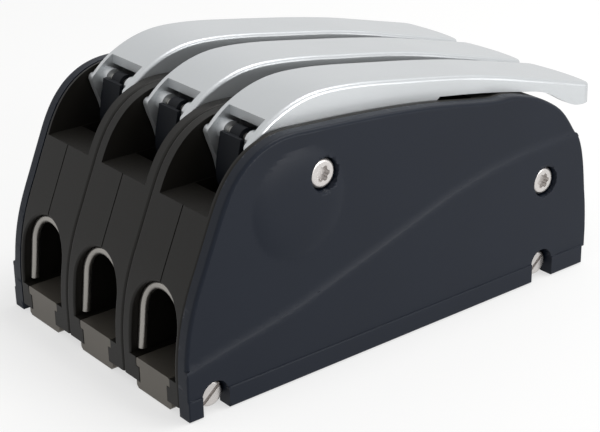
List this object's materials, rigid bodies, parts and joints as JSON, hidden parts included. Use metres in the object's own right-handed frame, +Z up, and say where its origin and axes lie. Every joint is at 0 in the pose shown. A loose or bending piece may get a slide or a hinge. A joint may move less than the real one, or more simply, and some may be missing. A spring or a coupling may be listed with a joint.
{
  "type": "triple rope clutch",
  "caption": "Deck rope clutch bank with silver lever handles, toothed cams, wire bails, dark moulded housings and side covers.",
  "frame": {"origin": "centre of the deck bolt pattern on the deck plane", "axes": "+Z up from the deck, +X from the front mouths to the rear mouths along the rope, +Y across the row to the far cover"},
  "size_m": [0.1744, 0.1018, 0.0872],
  "materials": {
    "cover_nylon": "fine moulded satin",
    "shell_nylon": "fine moulded satin",
    "handle_alloy": "satin silver paint",
    "plate_alloy": "black anodised, extruded",
    "bail_steel": "drawn stainless wire",
    "axle_steel": "turned stainless",
    "spring_steel": "drawn spring wire",
    "link_nylon": "glass-filled, moulded",
    "cam_alloy": "hard anodised casting",
    "screw_steel": "satin stainless"
  },
  "bodies": {
    "body": {"near_shell_1": "shell_nylon", "far_shell_1": "shell_nylon", "base_plate_1": "plate_alloy", "front_bail_1": "bail_steel", "rear_bail_1": "bail_steel", "cam_axle_1": "axle_steel", "cam_spring_1": "spring_steel", "near_shell_2": "shell_nylon", "far_shell_2": "shell_nylon", "base_plate_2": "plate_alloy", "front_bail_2": "bail_steel", "rear_bail_2": "bail_steel", "cam_axle_2": "axle_steel", "cam_spring_2": "spring_steel", "near_shell_3": "shell_nylon", "far_shell_3": "shell_nylon", "base_plate_3": "plate_alloy", "front_bail_3": "bail_steel", "rear_bail_3": "bail_steel", "cam_axle_3": "axle_steel", "cam_spring_3": "spring_steel", "near_cover": "cover_nylon", "far_cover": "cover_nylon", "near_screw_front": "screw_steel", "near_screw_rear": "screw_steel", "far_screw_front": "screw_steel", "far_screw_rear": "screw_steel", "handle_axle": "axle_steel", "tie_rod": "axle_steel", "base_bolt_front": "screw_steel", "base_bolt_rear": "screw_steel", "base_nut_front": "screw_steel", "base_nut_rear": "screw_steel"},
    "handle_body_1": {"handle_1": "handle_alloy", "link_pin_1": "axle_steel"},
    "link_body_1": {"link_1": "link_nylon"},
    "cam_body_1": {"cam_1": "cam_alloy", "cam_pin_1": "axle_steel"},
    "handle_body_2": {"handle_2": "handle_alloy", "link_pin_2": "axle_steel"},
    "link_body_2": {"link_2": "link_nylon"},
    "cam_body_2": {"cam_2": "cam_alloy", "cam_pin_2": "axle_steel"},
    "handle_body_3": {"handle_3": "handle_alloy", "link_pin_3": "axle_steel"},
    "link_body_3": {"link_3": "link_nylon"},
    "cam_body_3": {"cam_3": "cam_alloy", "cam_pin_3": "axle_steel"}
  },
  "joints": [
    {"name": "handle_1_hinge", "type": "hinge", "parent": "body", "child": "handle_body_1", "pos_m": [-0.0266, -0.032, 0.064], "axis": [0, -1, 0], "range_deg": [0, 110]},
    {"name": "cam_1_hinge", "type": "hinge", "parent": "body", "child": "cam_body_1", "pos_m": [0.009, -0.032, 0.0599], "axis": [0, -1, 0], "range_deg": [0, 55], "deforming": ["cam_spring_1"]},
    {"name": "link_1_hinge", "type": "hinge", "parent": "handle_body_1", "child": "link_body_1", "pos_m": [-0.0429, -0.032, 0.0753], "axis": [0, -1, 0], "range_deg": [-80.3, 0]},
    {"name": "handle_2_hinge", "type": "hinge", "parent": "body", "child": "handle_body_2", "pos_m": [-0.0266, 0, 0.064], "axis": [0, -1, 0], "range_deg": [0, 110]},
    {"name": "cam_2_hinge", "type": "hinge", "parent": "body", "child": "cam_body_2", "pos_m": [0.009, 0, 0.0599], "axis": [0, -1, 0], "range_deg": [0, 55], "deforming": ["cam_spring_2"]},
    {"name": "link_2_hinge", "type": "hinge", "parent": "handle_body_2", "child": "link_body_2", "pos_m": [-0.0429, 0, 0.0753], "axis": [0, -1, 0], "range_deg": [-80.3, 0]},
    {"name": "handle_3_hinge", "type": "hinge", "parent": "body", "child": "handle_body_3", "pos_m": [-0.0266, 0.032, 0.064], "axis": [0, -1, 0], "range_deg": [0, 110]},
    {"name": "cam_3_hinge", "type": "hinge", "parent": "body", "child": "cam_body_3", "pos_m": [0.009, 0.032, 0.0599], "axis": [0, -1, 0], "range_deg": [0, 55], "deforming": ["cam_spring_3"]},
    {"name": "link_3_hinge", "type": "hinge", "parent": "handle_body_3", "child": "link_body_3", "pos_m": [-0.0429, 0.032, 0.0753], "axis": [0, -1, 0], "range_deg": [-80.3, 0]}
  ],
  "couplings": [
    {"joint": "cam_1_hinge", "follows": "handle_1_hinge", "ratio": 0.5},
    {"joint": "link_1_hinge", "follows": "handle_1_hinge", "ratio": -0.73},
    {"joint": "cam_2_hinge", "follows": "handle_2_hinge", "ratio": 0.5},
    {"joint": "link_2_hinge", "follows": "handle_2_hinge", "ratio": -0.73},
    {"joint": "cam_3_hinge", "follows": "handle_3_hinge", "ratio": 0.5},
    {"joint": "link_3_hinge", "follows": "handle_3_hinge", "ratio": -0.73}
  ]
}
